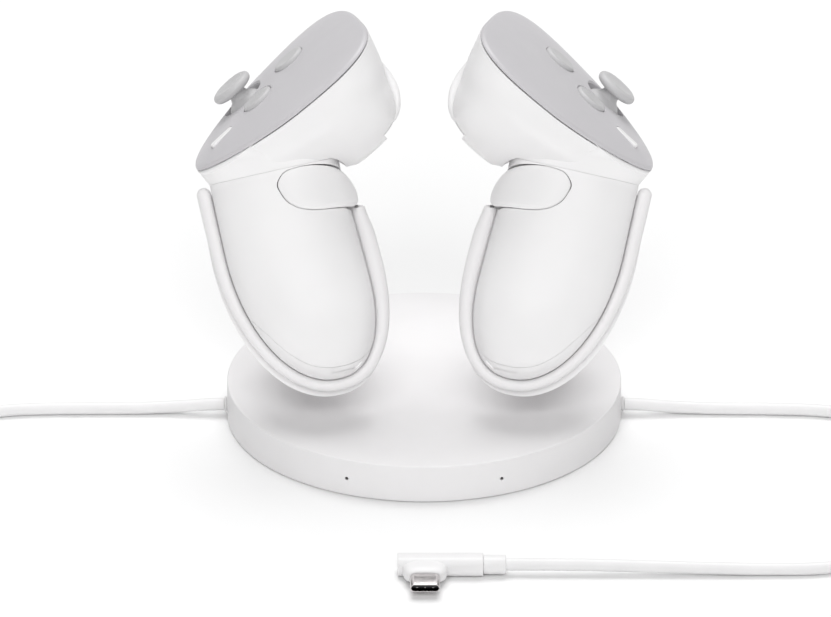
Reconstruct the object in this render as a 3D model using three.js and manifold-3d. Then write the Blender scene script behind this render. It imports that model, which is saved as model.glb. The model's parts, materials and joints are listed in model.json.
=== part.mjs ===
// A round charging dock with two hand controllers standing in scoop-shaped cradles.
// Millimetres, +Z up. The origin is the centre of the dock's underside, the front is -Y.
// Each controller is built in its own handle frame: x runs from the back of the hand to the
// fingers, y through the thickness away from the front, and z up the handle from its end.
import * as THREE from 'three';
import { mergeVertices } from 'three/addons/utils/BufferGeometryUtils.js';
import Module from 'manifold-3d';

const wasm = await Module();
wasm.setup();

// ---------------------------------------------------------------- driving dimensions

const gap = 0.3;
const wall = 2;

const dockRadius = 56;
const dockHeight = 11.2;
const padThickness = 1;
const padRadius = 51;

const leanBack = 26.1;
const handleTilt = 12.5;
const handleFoot = { x: -27, y: -26.6, z: 23 };

const handleLeft = -20.7;
const handleRight = 17.8;
const handleTip = { x: 3, z: 0.6 };
const handleHalfThickness = 14.4;
const handleTop = 61.7;
const splitPlane = -1.4;

const headPitch = 30;
const headCentre = { x: 3.6, z: 82 };
const faceCant = 18;
const faceEdge = 1;
const faceCrown = 2.6;
const face = { centre: 0.4, halfLength: 31.2, halfWidth: 24.5 };

const stick = { x: -7.9, y: 12, pivot: -1.6, wellRadius: 6.8, capRadius: 6.3 };
const buttonRadius = 4.9;
const lowerButton = { x: -4.8, y: 0.4 };
const upperButton = { x: 9.2, y: 8.4 };
const menuButton = { x: -19.4, y: -1.5, length: 8, width: 2.4 };

const cordDiameter = 3.5;
const cordExitHeight = 3.2;
const glandRadius = 1.9;
const coil = { x: -155.5, y: 17, inside: 8.6, outside: 32.2, height: 7.6 };

const plugMouthHalf = { x: 4.17, z: 1.24 };
const plugMouthLength = 6.6;
const headsetPlug = { left: -7.5, right: 16.4, y: -100.1, z: 3.1, depth: 6.8, height: 5.6, mouth: 0.2, nose: 4.5 };

// ---------------------------------------------------------------- materials

function plastic(colour, roughness) {
  return new THREE.MeshStandardMaterial({ color: colour, roughness, metalness: 0 });
}

function metal(colour, roughness) {
  return new THREE.MeshStandardMaterial({ color: colour, roughness, metalness: 1 });
}

const whiteShell = plastic(0xf1f0f0, 0.45);
const dockWhite = plastic(0xeeedee, 0.55);
const faceGrey = plastic(0xcbc9cd, 0.5);
const controlGrey = plastic(0xbebcc0, 0.55);
const cordWhite = plastic(0xececec, 0.5);
const padRubber = plastic(0x5c5c60, 0.85);
const boardGreen = plastic(0x2f5b3c, 0.6);
const blackPart = plastic(0x2a2a2c, 0.6);
const lightPipe = plastic(0x3c3a3a, 0.3);
const steel = metal(0xb9bbbe, 0.35);
const gold = metal(0xd6b25e, 0.3);

// ---------------------------------------------------------------- solids

function solidOf(geometry) {
  geometry.deleteAttribute('normal');
  geometry.deleteAttribute('uv');
  const merged = mergeVertices(geometry, 1e-4);
  return new wasm.Manifold(new wasm.Mesh({
    numProp: 3,
    vertProperties: new Float32Array(merged.attributes.position.array),
    triVerts: new Uint32Array(merged.index.array),
  }));
}

function geometryOf(solid) {
  const shape = solid.getMesh();
  const geometry = new THREE.BufferGeometry();
  geometry.setAttribute('position', new THREE.BufferAttribute(shape.vertProperties, 3));
  geometry.setIndex(new THREE.BufferAttribute(shape.triVerts, 1));
  return geometry;
}

function moved(geometry, matrix) {
  geometry.applyMatrix4(matrix);
  return geometry;
}

function block(x, y, z, matrix = new THREE.Matrix4()) {
  const geometry = new THREE.BoxGeometry(x[1] - x[0], y[1] - y[0], z[1] - z[0]);
  geometry.translate((x[0] + x[1]) / 2, (y[0] + y[1]) / 2, (z[0] + z[1]) / 2);
  return solidOf(moved(geometry, matrix));
}

// A round bar along z.
function bar(radius, centre, z, sides, matrix = new THREE.Matrix4()) {
  const geometry = new THREE.CylinderGeometry(radius, radius, z[1] - z[0], sides);
  geometry.rotateX(Math.PI / 2);
  geometry.translate(centre.x, centre.y, (z[0] + z[1]) / 2);
  return solidOf(moved(geometry, matrix));
}

// A turned piece about z, from [radius, z] pairs that start and end on the axis.
function turned(profile, sides, centre = { x: 0, y: 0 }, matrix = new THREE.Matrix4()) {
  const points = profile.map(([r, z]) => new THREE.Vector2(r, z));
  const geometry = new THREE.LatheGeometry(points, sides);
  geometry.rotateX(Math.PI / 2);
  geometry.translate(centre.x, centre.y, 0);
  return solidOf(moved(geometry, matrix));
}

// An outline in x and z, as thick as y says.
function slab(shape, y, matrix = new THREE.Matrix4(), curveSegments = 6) {
  const geometry = new THREE.ExtrudeGeometry(shape, { depth: y[1] - y[0], bevelEnabled: false, curveSegments });
  geometry.rotateX(Math.PI / 2);
  geometry.translate(0, y[1], 0);
  return solidOf(moved(geometry, matrix));
}

// A smooth closed outline through a few points.
function smoothOutline(points, steps) {
  const knots = points.map(([x, z]) => new THREE.Vector3(x, z, 0));
  const curve = new THREE.CatmullRomCurve3(knots, true, 'centripetal');
  return new THREE.Shape(curve.getPoints(steps).slice(0, -1).map((p) => new THREE.Vector2(p.x, p.y)));
}

// A skin through rings of equal count, closed at both ends; rings run anticlockwise from above.
function loft(rings, matrix = new THREE.Matrix4()) {
  const count = rings[0].length;
  const points = rings.flat();
  const middle = (ring) => ring.reduce((sum, p) => sum.add(p), new THREE.Vector3()).divideScalar(count);
  const low = points.push(middle(rings[0])) - 1;
  const high = points.push(middle(rings[rings.length - 1])) - 1;
  const last = (rings.length - 1) * count;
  const faces = [];
  for (let side = 0; side < count; side += 1) {
    const next = (side + 1) % count;
    faces.push(low, next, side, high, last + side, last + next);
    for (let level = 0; level < last; level += count) {
      faces.push(level + side, level + next, level + count + next);
      faces.push(level + side, level + count + next, level + count + side);
    }
  }
  const geometry = new THREE.BufferGeometry().setFromPoints(points);
  geometry.setIndex(faces);
  return solidOf(moved(geometry, matrix));
}

function power(value, exponent) {
  return Math.sign(value) * Math.abs(value) ** exponent;
}

// How far a rounded end has opened at a share of its length, from 0 at the tip to 1.
function opened(share, exponent) {
  const rest = 1 - Math.min(Math.max(share, 0), 1);
  return (1 - rest ** exponent) ** (1 / exponent);
}

// ---------------------------------------------------------------- the handle's form

const handleSides = 16;
const handleLevels = [0.08, 1.4, 5, 11.5, 21, 35];

// One section of the handle at a height, grown outward by an offset.
function handleRing(z, grow) {
  const rise = z - handleTip.z + grow;
  const leftReach = handleTip.x - handleLeft + grow;
  const rightReach = handleRight + grow - handleTip.x - 1.4 * opened((z - 28) / 30, 1.5);
  const left = handleTip.x - leftReach * opened(rise / (41 + grow), 2);
  const right = handleTip.x + rightReach * opened(rise / (26 + grow), 2.35);
  const depth = (handleHalfThickness + grow) * opened(rise / (24 + grow), 2.2);
  const ring = [];
  for (let side = 0; side < handleSides; side += 1) {
    const angle = (side / handleSides) * 2 * Math.PI;
    ring.push(new THREE.Vector3(
      (left + right) / 2 + ((right - left) / 2) * power(Math.cos(angle), 0.86),
      depth * power(Math.sin(angle), 0.86),
      z,
    ));
  }
  return ring;
}

function handleForm(grow, top) {
  const foot = handleTip.z - grow;
  return loft([...handleLevels.map((level) => handleRing(foot + level, grow)), handleRing(top, grow)]);
}

// ---------------------------------------------------------------- the head's form

const headMatrix = new THREE.Matrix4()
  .makeTranslation(headCentre.x, 0, headCentre.z)
  .multiply(new THREE.Matrix4().makeRotationY(-headPitch * Math.PI / 180));
const faceMatrix = headMatrix.clone().multiply(new THREE.Matrix4().makeRotationX(faceCant * Math.PI / 180));
const headSides = 20;

// An egg-shaped section, blunt at the front, tipped about its long axis.
function eggRing(centre, halfLength, halfWidth, z, cant, egg) {
  const ring = [];
  for (let side = 0; side < headSides; side += 1) {
    const angle = (side / headSides) * 2 * Math.PI;
    const rear = Math.sin(angle) > 0 ? 0.98 : 1.2;
    const front = Math.sin(angle) > 0 ? 0.62 : 0.68;
    const blunt = Math.cos(angle) <= 0 ? rear : front;
    const along = power(Math.cos(angle), blunt);
    const across = halfWidth * power(Math.sin(angle), blunt) * (1 + egg * along);
    const tilt = cant * Math.PI / 180;
    ring.push(new THREE.Vector3(
      centre + halfLength * along,
      across * Math.cos(tilt),
      z + across * Math.sin(tilt),
    ));
  }
  return ring;
}

// Sections of the head from its underside to the face: centre, half length, half width, depth, cant.
const headSections = [
  [10, 7, 7.5, -28.8, 0],
  [10, 12, 13, -26, 0],
  [7.6, 17, 17, -21.5, 3],
  [4.6, 21.6, 20, -16.5, 7],
  [0.8, 28.4, 23.2, -8.6, 14],
  [face.centre, face.halfLength, face.halfWidth, -0.35, faceCant],
];

function headForm(grow, lift) {
  const rings = headSections.map(([centre, halfLength, halfWidth, z, cant]) => (
    eggRing(centre, halfLength + grow, halfWidth + grow, z - grow * 0.6, cant, 0.26)
  ));
  if (lift) {
    rings.push(eggRing(face.centre, face.halfLength + grow, face.halfWidth + grow, lift, faceCant, 0.26));
  }
  return loft(rings, headMatrix);
}

// The neck flares from the handle's section up into the head.
function neckForm(grow, foot) {
  const flare = [[foot, 0, 0], [64.2, 0.9, 1], [66.6, 0.6, 1.8], [70, -2.6, 1.4], [74, -8, 0]];
  return loft(flare.map(([z, wider, thicker]) => handleRing(handleTop, grow).map((p) => new THREE.Vector3(
    handleTip.x + (p.x - handleTip.x) * (1 + wider / 22),
    p.y * (1 + thicker / handleHalfThickness),
    z,
  ))));
}

// ---------------------------------------------------------------- controller casing

const gripOutline = [
  [-1.6, 56.4], [1, 59.4], [5.4, 60.9], [11.5, 60.7], [16.2, 59.8], [18.6, 56], [20.6, 52], [18.2, 48.6],
  [15.4, 47], [9.6, 47.3], [2, 50.6],
];

const coverOutline = [
  [-26, 38], [-12.6, 15.2], [-7.7, 9.2], [-2.6, 5.4], [4, 3.9], [11, 5], [16.5, 10], [24, 24], [26, 44],
  [24, 55.5], [14, 58.8], [11.2, 63], [4, 72], [-26, 70],
];

function coverRegion(side) {
  const shape = smoothOutline(coverOutline, 24);
  return slab(shape, [-30, splitPlane + side * gap / 2]);
}

function gripRegion(grow) {
  const middle = { x: 10, z: 54 };
  const points = gripOutline.map(([x, z]) => {
    const reach = Math.hypot(x - middle.x, z - middle.z);
    return [middle.x + (x - middle.x) * (1 + grow / reach), middle.z + (z - middle.z) * (1 + grow / reach)];
  });
  return slab(smoothOutline(points, 24), [-30, 5 + grow * 6]);
}

function handleWall() {
  return handleForm(0, handleTop).subtract(handleForm(-wall, handleTop + 5));
}

// The rear half of the handle with its closed end, a window for the charging plate and a strap slot.
function handleShell() {
  const strapSlot = block([1.6, 10.8], [-12, -4], [2.4, 4.6]);
  return handleWall()
    .subtract(coverRegion(1))
    .subtract(gripRegion(gap))
    .subtract(chargeWindow(gap))
    .subtract(strapSlot);
}

// The front half of the handle, which lifts off to reach the battery.
function batteryCover() {
  const region = coverRegion(-1).intersect(coverRegionBelow());
  return handleWall().intersect(region).subtract(gripRegion(gap));
}

// The cover's own edge stands a gap inside the shell's edge.
function coverRegionBelow() {
  return slab(smoothOutline(coverOutline.map(([x, z]) => [x, z + gap]), 24), [-30, 0]);
}

function gripButton() {
  const skin = shifted(handleForm(1.3, handleTop + 4), 1.8, 0).subtract(handleForm(-1.5, handleTop + 6));
  return skin.intersect(gripRegion(0));
}

const chargePlateBox = { x: [-7, 7], z: [24, 34] };

function chargeWindow(grow) {
  const { x, z } = chargePlateBox;
  return block([x[0] - grow, x[1] + grow], [6, 30], [z[0] - grow, z[1] + grow]);
}

function chargePlate() {
  return handleForm(-0.2, handleTop).subtract(handleForm(-1.6, handleTop + 5)).intersect(chargeWindow(0));
}

// ---------------------------------------------------------------- trigger

const triggerHalfWidth = 9;
const triggerPivot = { x: 22.6, z: -8.2 };
const triggerOutline = [
  [25.4, -7.6], [27.6, -12.4], [27.9, -17], [26.4, -21.8], [23, -25.8], [19.4, -27.2], [17.6, -26],
  [18.6, -23.8], [21.6, -21.4], [23.2, -17], [21.2, -12], [20, -8.4], [22.4, -5.8],
];

function triggerRegion() {
  const outline = [[30, -4.2], [36, -12], [34, -26], [22, -33], [15.2, -31], [15.1, -24], [14.6, -12], [18, -4.6]];
  return slab(smoothOutline(outline, 28), [-triggerHalfWidth - 0.6, triggerHalfWidth + 0.6], headMatrix);
}

function trigger() {
  const lever = slab(smoothOutline(triggerOutline, 32), [-triggerHalfWidth, triggerHalfWidth], headMatrix);
  return lever.subtract(triggerPinBar(1.3, triggerHalfWidth + 2));
}

function triggerPinBar(radius, reach) {
  const geometry = new THREE.CylinderGeometry(radius, radius, 2 * reach, 12);
  geometry.translate(triggerPivot.x, 0, triggerPivot.z);
  return solidOf(moved(geometry, headMatrix));
}

// ---------------------------------------------------------------- head

function headShell() {
  const outside = headForm(0, 0).add(neckForm(0, handleTop + gap));
  const inside = headForm(-wall, 3).add(neckForm(-wall, handleTop - 3));
  const aboveFace = block([-60, 60], [-60, 60], [-0.35, 40], faceMatrix);
  const handleRoom = handleForm(1.7, handleTop + gap);
  return outside.subtract(inside).subtract(aboveFace).subtract(triggerRegion()).subtract(handleRoom);
}

function faceHeight(share) {
  return faceEdge + faceCrown * (1 - share ** 3.5);
}

// The stick and the two round buttons stand a little steeper than the face they come through.
const controlTilt = 6;

function controlMatrix(place) {
  const height = faceEdge + faceCrown;
  return faceMatrix.clone()
    .multiply(new THREE.Matrix4().makeTranslation(place.x, place.y, height))
    .multiply(new THREE.Matrix4().makeRotationX(-controlTilt * Math.PI / 180))
    .multiply(new THREE.Matrix4().makeTranslation(-place.x, -place.y, -height));
}

function facePlate() {
  const { centre, halfLength, halfWidth } = face;
  const shares = [1, 0.9, 0.65, 0.1];
  const scaled = (share, z) => eggRing(centre, halfLength * share, halfWidth * share, z, 0, 0.26);
  const plate = loft([scaled(0.99, 0), ...shares.map((share) => scaled(share, faceHeight(share)))], faceMatrix);
  const through = [-2, 12];
  return plate
    .subtract(bar(stick.wellRadius, stick, through, 16, controlMatrix(stick)))
    .subtract(bar(buttonRadius + gap, lowerButton, through, 12, controlMatrix(lowerButton)))
    .subtract(bar(buttonRadius + gap, upperButton, through, 12, controlMatrix(upperButton)))
    .subtract(pill(menuButton, gap, through));
}

function pill(place, grow, z) {
  const half = place.length / 2 - place.width / 2;
  const end = place.width / 2 + grow;
  return block([place.x - half, place.x + half], [place.y - end, place.y + end], z, faceMatrix)
    .add(bar(end, { x: place.x - half, y: place.y }, z, 8, faceMatrix))
    .add(bar(end, { x: place.x + half, y: place.y }, z, 8, faceMatrix));
}

function roundButton(place) {
  const top = 4.4;
  const profile = [
    [0, -1.9], [buttonRadius + 0.7, -1.9], [buttonRadius + 0.7, -1.1], [buttonRadius, -1.1],
    [buttonRadius, top - 0.7], [buttonRadius - 0.5, top - 0.1], [buttonRadius - 1.6, top], [0, top - 0.25],
  ];
  return turned(profile, 12, place, controlMatrix(place));
}

function menuKey() {
  return pill(menuButton, 0, [-1.2, 3.4]);
}

function thumbstick() {
  const ball = 6.3;
  const around = (angle) => {
    const tilt = angle * Math.PI / 180;
    return [ball * Math.sin(tilt), stick.pivot + ball * Math.cos(tilt)];
  };
  const profile = [
    [0, stick.pivot + 0.3], [1.6, stick.pivot + 0.3], [1.6, 1.5], around(60), around(44), around(30),
    [2.6, 5.3], [3.6, 5.9], [5.8, 6.4], [stick.capRadius, 7.4], [5.5, 8.7], [0, 8.4],
  ];
  return turned(profile, 16, stick, controlMatrix(stick));
}

// The gimbal ring between the stick and its carrier.
function stickRing() {
  const half = 0.5;
  return bar(3.8, stick, [stick.pivot - half, stick.pivot + half], 12, controlMatrix(stick))
    .subtract(bar(2.5, stick, [stick.pivot - 1, stick.pivot + 1], 12, controlMatrix(stick)));
}

function stickCarrier() {
  const floor = stick.pivot - 4.3;
  return bar(4.05, stick, [floor, stick.pivot - 2], 12, controlMatrix(stick))
    .subtract(bar(2.9, stick, [floor + 1.4, stick.pivot], 12, controlMatrix(stick)));
}

function controllerBoard() {
  return block([-8, 17], [-13, 9], [-10.4, -9.2], faceMatrix);
}

function hapticMotor() {
  const geometry = new THREE.CylinderGeometry(4.5, 4.5, 9, 20);
  geometry.translate(8, 0, -20);
  return solidOf(moved(geometry, headMatrix));
}

function batteryCell() {
  const cell = { x: -1.6, y: 0 };
  return turned([[0, 9.5], [7.1, 9.5], [7.1, 58.6], [2.7, 58.6], [2.7, 60], [0, 60]], 16, cell);
}

// ---------------------------------------------------------------- cradle

const rimRadius = 1.55;
const rimOffset = 1.9;
const rimTop = { left: 59.4, right: 48.4 };

// The rim follows the handle's side outline, from the outer top, round the end, to the inner top.
function rimPath() {
  const points = [];
  const levels = [rimTop.left, 52, 40, 30, 22, 15, 9, 5, 2.4, 0.9, 0];
  const edge = (z, index) => {
    const ring = handleRing(z, rimOffset);
    return new THREE.Vector3(ring[index].x, 0, z);
  };
  const foot = handleTip.z - rimOffset;
  levels.forEach((level) => points.push(edge(Math.max(level, foot + 0.25), handleSides / 2)));
  points.push(new THREE.Vector3(handleTip.x, 0, foot));
  [0, 0.9, 2.4, 5, 9, 15, 22, 30, 39, rimTop.right].forEach((level) => {
    points.push(edge(Math.max(level, foot + 0.25), 0));
  });
  return new THREE.CatmullRomCurve3(points, false, 'centripetal');
}

function rimBead() {
  const section = new THREE.Shape();
  section.absarc(0, 0, rimRadius, 0, 2 * Math.PI);
  const path = rimPath();
  const options = { steps: 26, curveSegments: 4, extrudePath: path, bevelEnabled: false };
  const geometry = new THREE.ExtrudeGeometry(section, options);
  const ends = [path.getPoint(0), path.getPoint(1)].map((end) => {
    const ball = new THREE.SphereGeometry(rimRadius, 8, 6);
    ball.translate(end.x, end.y, end.z);
    return solidOf(ball);
  });
  return solidOf(geometry).add(ends[0]).add(ends[1]);
}

// Everything above a slanting line from the outer rim end down to the inner one.
function aboveCradle(rise) {
  const slope = Math.atan2(rimTop.right - rimTop.left, handleRight - handleLeft + 2 * rimOffset);
  const matrix = new THREE.Matrix4()
    .makeTranslation(handleLeft - rimOffset, 0, rimTop.left + rise)
    .multiply(new THREE.Matrix4().makeRotationY(-slope));
  return block([-40, 80], [-60, 60], [0, 80], matrix);
}

// The cup lies against the rear half of the handle and carries the rim.
function cradleCup() {
  const lining = handleForm(2, 70).subtract(block([-60, 60], [-60, 0], [-60, 90])).subtract(aboveCradle(0));
  return lining.add(rimBead())
    .subtract(handleForm(0.4, 80))
    .subtract(chargeWindow(1 + gap))
    .subtract(gripRegion(0.6));
}

function shifted(solid, x, z) {
  return solidOf(geometryOf(solid).translate(x, 0, z));
}

const shellLean = 1.6;

// The outer shell wraps the cup from behind and runs down into the arm that stands on the dock.
function cradleShell(toHandle) {
  const outside = handleForm(3.9, 70)
    .translate([0, 0, -55])
    .rotate([0, shellLean, 0])
    .translate([0, 0, 54.4]);
  const behind = block([-60, 60], [-60, 1.9], [-60, 90]);
  const top = aboveCradle(-1.4);
  return outside.add(armForm(toHandle))
    .subtract(behind)
    .subtract(top)
    .subtract(handleForm(2.35, 80))
    .subtract(block([-60, 60], [-60, 60], [-90, dockHeight + gap], toHandle));
}

// The arm rises from the dock behind the cradle; sections of centre, half width, half depth, height.
function armForm(toHandle) {
  const sections = [
    [-29.5, 17, 13, 9.5, dockHeight + gap / 2],
    [-29.5, 16.5, 11.5, 8.2, 13.5],
    [-30, 15, 10.4, 7.4, 19],
    [-31, 12.5, 10.6, 7.8, 27],
    [-32, 9, 11.4, 8.8, 36],
    [-33, 4, 11.4, 8.6, 46],
  ];
  const rings = sections.map(([x, y, halfWidth, halfDepth, z]) => {
    const ring = [];
    for (let side = 0; side < 20; side += 1) {
      const angle = (side / 20) * 2 * Math.PI;
      ring.push(new THREE.Vector3(x + halfWidth * Math.cos(angle), y + halfDepth * Math.sin(angle), z));
    }
    return ring;
  });
  return loft(rings, toHandle);
}

function contactBlock() {
  const { x, z } = chargePlateBox;
  return block([x[0] - 1, x[1] + 1], [10, 17.6], [z[0] - 1, z[1] + 1])
    .subtract(handleForm(0.6, 80))
    .intersect(handleForm(2, 80));
}

// ---------------------------------------------------------------- dock

function dockTopShell() {
  const edge = 0.45;
  const foot = 0.3;
  const profile = [
    [0, dockHeight], [dockRadius - edge, dockHeight], [dockRadius - 0.13, dockHeight - 0.13],
    [dockRadius, dockHeight - edge], [dockRadius, foot + 0.4], [dockRadius - 0.4, foot],
    [dockRadius - wall, foot], [dockRadius - wall, dockHeight - wall], [0, dockHeight - wall],
  ];
  const shell = turned(profile.reverse(), 56);
  const cordHole = new THREE.CylinderGeometry(glandRadius + gap / 2, glandRadius + gap / 2, 140, 16);
  cordHole.rotateZ(Math.PI / 2);
  cordHole.translate(0, 0, cordExitHeight);
  const lightHole = (x) => {
    const geometry = new THREE.CylinderGeometry(0.62, 0.62, 20, 10);
    geometry.translate(x, -dockRadius + 4, lightHeight);
    return solidOf(geometry);
  };
  return shell.subtract(solidOf(cordHole)).subtract(lightHole(-lightSpacing)).subtract(lightHole(lightSpacing));
}

const lightSpacing = 21.8;
const lightHeight = 5.4;

function statusLight(x) {
  const face = -Math.sqrt(dockRadius ** 2 - x ** 2);
  const geometry = new THREE.CylinderGeometry(0.32, 0.32, 5, 10);
  geometry.translate(x, face + 2.6, lightHeight);
  return solidOf(geometry);
}

function dockBottomCover() {
  const radius = dockRadius - wall - gap;
  const channel = new THREE.BoxGeometry(20, 6, 10);
  const cut = (x) => solidOf(moved(channel.clone(), new THREE.Matrix4().makeTranslation(x, 0, 6)));
  return bar(radius, { x: 0, y: 0 }, [padThickness + gap, padThickness + gap + 1.8], 48)
    .subtract(cut(-dockRadius))
    .subtract(cut(dockRadius))
    .subtract(screwHole(0))
    .subtract(screwHole(1));
}

const screwPlaces = [{ x: 0, y: 40 }, { x: 0, y: -40 }];

function screwHole(index) {
  return bar(1.6, screwPlaces[index], [0, 6], 12);
}

function dockScrew(index) {
  const place = screwPlaces[index];
  return bar(1.3, place, [padThickness + gap, 7.6], 12);
}

function footPad() {
  return turned([[0, 0], [padRadius, 0], [padRadius, padThickness], [0, padThickness]], 48);
}

function ballastPlate() {
  return block([-30, 30], [-26, -6], [3.6, 6.6]);
}

function dockBoard() {
  return block([-28, 28], [4, 30], [4, 5.2]);
}

// ---------------------------------------------------------------- cords

// The power lead leaves on the left and settles onto the table on its way to its coil.
const powerRoute = [
  [-56.9, 0, 3.2], [-62, 0, 3], [-72, 0.2, 2.2], [-84, 0.1, 1.78], [-98, 0, 1.76], [-110, -0.3, 1.76],
  [-120, -1.5, 1.76], [-128, -3.9, 1.8],
];
// The last of the power lead comes off the top of the coil and over the first of it, down to its plug.
const powerEndRoute = [
  [-128.1, -4.2, 5.72], [-129.2, -12, 5.1], [-129.8, -18.5, 3.9], [-130, -23.7, 3.2],
];
// The headset lead leaves on the right, loops round and comes back in front of the dock to its plug.
const headsetRoute = [
  [56.9, 0, 3.2], [62, 0, 3], [72, 0.1, 2.2], [84, 0, 1.78], [100, -0.3, 1.76], [114, -1.6, 1.76],
  [127, -5.8, 1.76], [138, -14.5, 1.76], [145, -27, 1.76], [147.6, -42, 1.76], [147.4, -57, 1.76],
  [144.2, -72.5, 1.76], [136.5, -86.4, 1.76], [125.5, -95.4, 1.76], [112, -99.6, 1.77], [96, -100.6, 1.9],
  [80, -100.6, 2.16], [66, -100.4, 2.48], [52, -100.25, 2.84], [38, -100.15, 3.06], [23.05, -100.1, 3.1],
];

function cordTube(route, steps) {
  const path = new THREE.CatmullRomCurve3(route.map((p) => new THREE.Vector3(...p)), false, 'centripetal');
  const section = new THREE.Shape();
  section.absarc(0, 0, cordDiameter / 2, 0, 2 * Math.PI);
  const options = { steps, curveSegments: 4, extrudePath: path, bevelEnabled: false };
  return solidOf(new THREE.ExtrudeGeometry(section, options));
}

function powerCoil() {
  const { inside, outside, height } = coil;
  const bevel = 1;
  const points = [
    [inside, bevel], [inside + bevel, 0], [outside - bevel, 0], [outside, bevel],
    [outside, height - bevel], [outside - bevel, height], [inside + bevel, height],
    [inside, height - bevel], [inside, bevel],
  ];
  return turned(points, 28, coil);
}

function gland(side) {
  const inner = dockRadius - wall - 2;
  const outer = dockRadius + 0.6;
  const geometry = new THREE.CylinderGeometry(glandRadius, glandRadius, outer - inner, 16);
  geometry.rotateZ(Math.PI / 2);
  geometry.translate(side * (outer + inner) / 2, 0, cordExitHeight);
  return solidOf(geometry);
}

// A rounded slot outline for a plug's metal mouth.
function slotOutline(halfWidth, halfHeight) {
  const straight = halfWidth - halfHeight;
  const shape = new THREE.Shape();
  shape.absarc(straight, 0, halfHeight, -Math.PI / 2, Math.PI / 2);
  shape.absarc(-straight, 0, halfHeight, Math.PI / 2, 1.5 * Math.PI);
  return shape;
}

// The standard metal mouth of a plug, pointing along -y from its root, with its tongue inside.
function plugMouth(matrix) {
  const skin = slab(slotOutline(plugMouthHalf.x, plugMouthHalf.z), [-plugMouthLength, 0], matrix, 3);
  const hollow = slotOutline(plugMouthHalf.x - 0.5, plugMouthHalf.z - 0.45);
  return skin.subtract(slab(hollow, [-plugMouthLength - 1, -1.4], matrix, 3));
}

function at(x, y, z, turn = 0) {
  return new THREE.Matrix4().makeTranslation(x, y, z).multiply(new THREE.Matrix4().makeRotationZ(turn));
}

// A rounded bar lying along x.
function lyingBody(length, depth, height, corner, matrix) {
  const shape = new THREE.Shape();
  shape.moveTo(-depth / 2 + corner, -height / 2);
  shape.lineTo(depth / 2 - corner, -height / 2);
  shape.absarc(depth / 2 - corner, -height / 2 + corner, corner, -Math.PI / 2, 0);
  shape.absarc(depth / 2 - corner, height / 2 - corner, corner, 0, Math.PI / 2);
  shape.absarc(-depth / 2 + corner, height / 2 - corner, corner, Math.PI / 2, Math.PI);
  shape.absarc(-depth / 2 + corner, -height / 2 + corner, corner, Math.PI, 1.5 * Math.PI);
  const geometry = new THREE.ExtrudeGeometry(shape, { depth: length, bevelEnabled: false, curveSegments: 2 });
  geometry.rotateX(Math.PI / 2);
  geometry.rotateZ(Math.PI / 2);
  return solidOf(moved(geometry, matrix));
}

// The charger end of the power lead, lying beside its coil and pointing to the front.
const powerPlug = { x: -130, y: -31, z: 3.1, length: 17, width: 11.6, height: 6 };

function powerPlugBody() {
  const { x, y, z, length, width, height } = powerPlug;
  const body = slab(slotOutline(width / 2, height / 2), [-length, 0], at(x, y, z), 4);
  const relief = { x, y: z };
  return body.add(bar(2.3, relief, [-7, 1], 12, new THREE.Matrix4()
    .makeTranslation(0, y, 0).multiply(new THREE.Matrix4().makeRotationX(Math.PI / 2))));
}

function powerPlugMouth() {
  return plugMouth(at(powerPlug.x, powerPlug.y - powerPlug.length - gap, powerPlug.z));
}

function headsetPlugBody() {
  const { left, right, y, height } = headsetPlug;
  const body = lyingBody(right - left, headsetPlug.depth, height, 1.6, at(left, y, headsetPlug.z));
  const root = y - headsetPlug.depth / 2 + 0.6;
  const place = at(headsetPlug.mouth, root, headsetPlug.z);
  return body.add(slab(slotOutline(6, 2.4), [-headsetPlug.nose - 0.6, 0], place, 3));
}

function headsetPlugCollar() {
  const { right, y, z } = headsetPlug;
  return lyingBody(6, 5.4, 5, 2.2, at(right + gap, y, z));
}

function headsetPlugMouth() {
  const front = headsetPlug.y - headsetPlug.depth / 2 - headsetPlug.nose - gap;
  return plugMouth(at(headsetPlug.mouth, front, headsetPlug.z));
}

// ---------------------------------------------------------------- assembly

const dock = new THREE.Group();

function add(group, name, solid, material) {
  const geometry = geometryOf(solid);
  geometry.computeVertexNormals();
  const mesh = new THREE.Mesh(geometry, material);
  mesh.name = name;
  group.add(mesh);
}

function controllerFrame(side) {
  const mirror = new THREE.Group();
  mirror.scale.x = side;
  const lean = new THREE.Group();
  lean.position.set(handleFoot.x, handleFoot.y, handleFoot.z);
  lean.rotation.x = -leanBack * Math.PI / 180;
  const tilt = new THREE.Group();
  tilt.rotation.y = -handleTilt * Math.PI / 180;
  mirror.add(lean);
  lean.add(tilt);
  dock.add(mirror);
  return tilt;
}

const toHandle = new THREE.Matrix4()
  .makeTranslation(handleFoot.x, handleFoot.y, handleFoot.z)
  .multiply(new THREE.Matrix4().makeRotationX(-leanBack * Math.PI / 180))
  .multiply(new THREE.Matrix4().makeRotationY(-handleTilt * Math.PI / 180))
  .invert();

const sidePieces = [
  ['cradle_cup', cradleCup(), dockWhite],
  ['cradle_shell', cradleShell(toHandle), dockWhite],
  ['contact_block', contactBlock(), blackPart],
  ['handle_shell', handleShell(), whiteShell],
  ['battery_cover', batteryCover(), whiteShell],
  ['battery', batteryCell(), blackPart],
  ['charge_plate', chargePlate(), gold],
  ['grip_button', gripButton(), whiteShell],
  ['head_shell', headShell(), whiteShell],
  ['face_plate', facePlate(), faceGrey],
  ['trigger', trigger(), whiteShell],
  ['trigger_pin', triggerPinBar(1, triggerHalfWidth + 1), steel],
  ['thumbstick', thumbstick(), controlGrey],
  ['stick_ring', stickRing(), blackPart],
  ['stick_carrier', stickCarrier(), blackPart],
  ['lower_button', roundButton(lowerButton), controlGrey],
  ['upper_button', roundButton(upperButton), controlGrey],
  ['menu_button', menuKey(), whiteShell],
  ['controller_board', controllerBoard(), boardGreen],
  ['haptic_motor', hapticMotor(), steel],
];

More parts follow.
